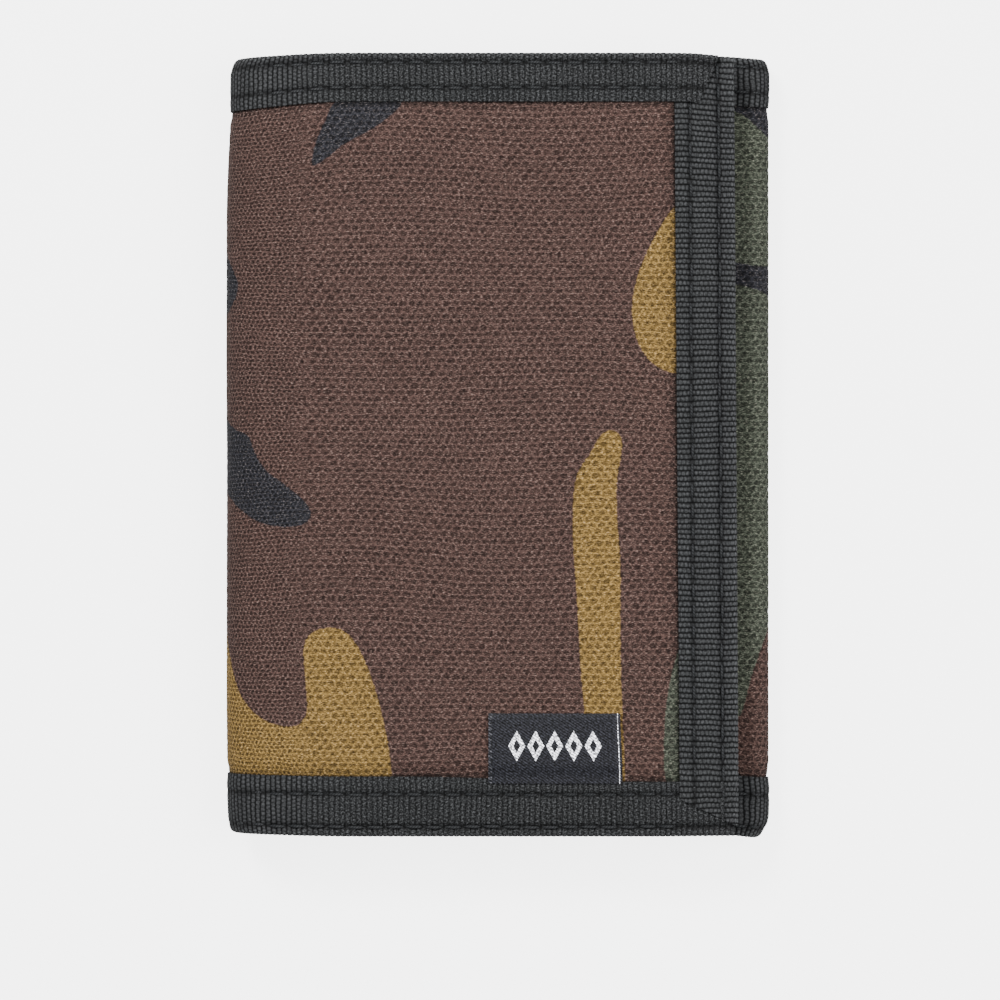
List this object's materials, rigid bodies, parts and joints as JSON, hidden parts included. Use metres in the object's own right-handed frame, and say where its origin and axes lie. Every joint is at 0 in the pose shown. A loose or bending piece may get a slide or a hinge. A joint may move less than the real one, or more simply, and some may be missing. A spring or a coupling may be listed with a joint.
{
  "type": "trifold wallet",
  "caption": "Canvas trifold wallet with webbing-bound edges, a folding front flap and tuck flap, card pockets and a zipped coin pocket.",
  "frame": {"origin": "middle of the back panel's outer face, the wallet lying closed on its back", "axes": "+X from the left fold to the right fold, +Y up along the folds to the note compartment's mouth, +Z out of the front flap"},
  "size_m": [0.0834, 0.12, 0.0133],
  "materials": {
    "camo_canvas": "coarse plain-weave canvas with a printed camouflage of brown, ochre, dark green and near black",
    "binding_tape": "charcoal grosgrain webbing, folded and sewn",
    "lining": "dark fine nylon lining",
    "thread": "charcoal polyester thread",
    "label": "near-black woven satin label",
    "hook": "moulded nylon hooks on a woven backing",
    "loop": "brushed nylon loop pile",
    "zip_nylon": "nylon coil",
    "zip_metal": "grey die-cast metal",
    "film": "clear flexible vinyl"
  },
  "bodies": {
    "back": {"back_canvas": "camo_canvas", "back_lining": "lining", "back_lining_hem": "binding_tape", "back_top_binding": "binding_tape", "back_bottom_binding": "binding_tape", "back_stitching": "thread", "card_pocket_high": "lining", "card_pocket_middle": "lining", "card_pocket_low": "lining", "card_pocket_stitching": "thread"},
    "left_spine": {"left_fold_canvas": "camo_canvas", "left_fold_lining": "lining", "left_fold_lining_hem": "binding_tape", "left_fold_top_binding": "binding_tape", "left_fold_bottom_binding": "binding_tape"},
    "front_flap": {"front_canvas": "camo_canvas", "front_lining": "lining", "front_lining_hem": "binding_tape", "front_top_binding": "binding_tape", "front_bottom_binding": "binding_tape", "front_edge_binding": "binding_tape", "front_stitching": "thread", "woven_label": "label", "hook_patch": "hook", "coin_pocket_panel": "lining", "coin_pocket_fold_strip": "lining", "coin_pocket_gusset": "lining", "coin_pocket_stitching": "thread", "zip_tape_fold_side": "binding_tape", "zip_tape_flap_side": "binding_tape", "zip_coil": "zip_nylon", "zip_end_tabs": "binding_tape", "zip_top_stops": "zip_metal", "zip_bottom_stop": "zip_metal"},
    "zip_slider": {"zip_slider": "zip_metal"},
    "zip_puller": {"zip_puller": "zip_metal"},
    "right_spine": {"right_fold_canvas": "camo_canvas", "right_fold_lining": "lining", "right_fold_lining_hem": "binding_tape", "right_fold_top_binding": "binding_tape", "right_fold_bottom_binding": "binding_tape"},
    "tuck_flap": {"tuck_canvas": "camo_canvas", "tuck_lining": "lining", "tuck_lining_hem": "binding_tape", "tuck_top_binding": "binding_tape", "tuck_bottom_binding": "binding_tape", "tuck_edge_binding": "binding_tape", "tuck_stitching": "thread", "loop_patch": "loop", "photo_window_frame": "binding_tape", "photo_window_film": "film"}
  },
  "joints": [
    {"name": "front_lower_crease", "type": "hinge", "parent": "back", "child": "left_spine", "pos_m": [-0.04035, 0, 0.0014], "axis": [0, -1, 0], "range_deg": [0, 90], "deforming": ["left_fold_canvas", "left_fold_lining", "left_fold_lining_hem", "left_fold_top_binding", "left_fold_bottom_binding"]},
    {"name": "front_upper_crease", "type": "hinge", "parent": "left_spine", "child": "front_flap", "pos_m": [-0.04035, 0, 0.0116], "axis": [0, -1, 0], "range_deg": [0, 90]},
    {"name": "tuck_lower_crease", "type": "hinge", "parent": "back", "child": "right_spine", "pos_m": [0.04113, 0, 0.00062], "axis": [0, 1, 0], "range_deg": [0, 90], "deforming": ["right_fold_canvas", "right_fold_lining", "right_fold_lining_hem", "right_fold_top_binding", "right_fold_bottom_binding"]},
    {"name": "tuck_upper_crease", "type": "hinge", "parent": "right_spine", "child": "tuck_flap", "pos_m": [0.04113, 0, 0.00518], "axis": [0, 1, 0], "range_deg": [0, 90]},
    {"name": "zip_slide", "type": "slide", "parent": "front_flap", "child": "zip_slider", "axis": [0, 1, 0], "range_m": [-0.07, 0], "deforming": ["zip_coil"]},
    {"name": "puller_swing", "type": "hinge", "parent": "zip_slider", "child": "zip_puller", "pos_m": [-0.02575, 0.0365, 0.0057], "axis": [1, 0, 0], "range_deg": [0, 160]}
  ],
  "couplings": [
    {"joint": "front_upper_crease", "follows": "front_lower_crease", "ratio": 1},
    {"joint": "tuck_lower_crease", "follows": "front_lower_crease", "ratio": 1},
    {"joint": "tuck_upper_crease", "follows": "front_lower_crease", "ratio": 1},
    {"joint": "puller_swing", "follows": "front_lower_crease", "ratio": 1.7777}
  ]
}
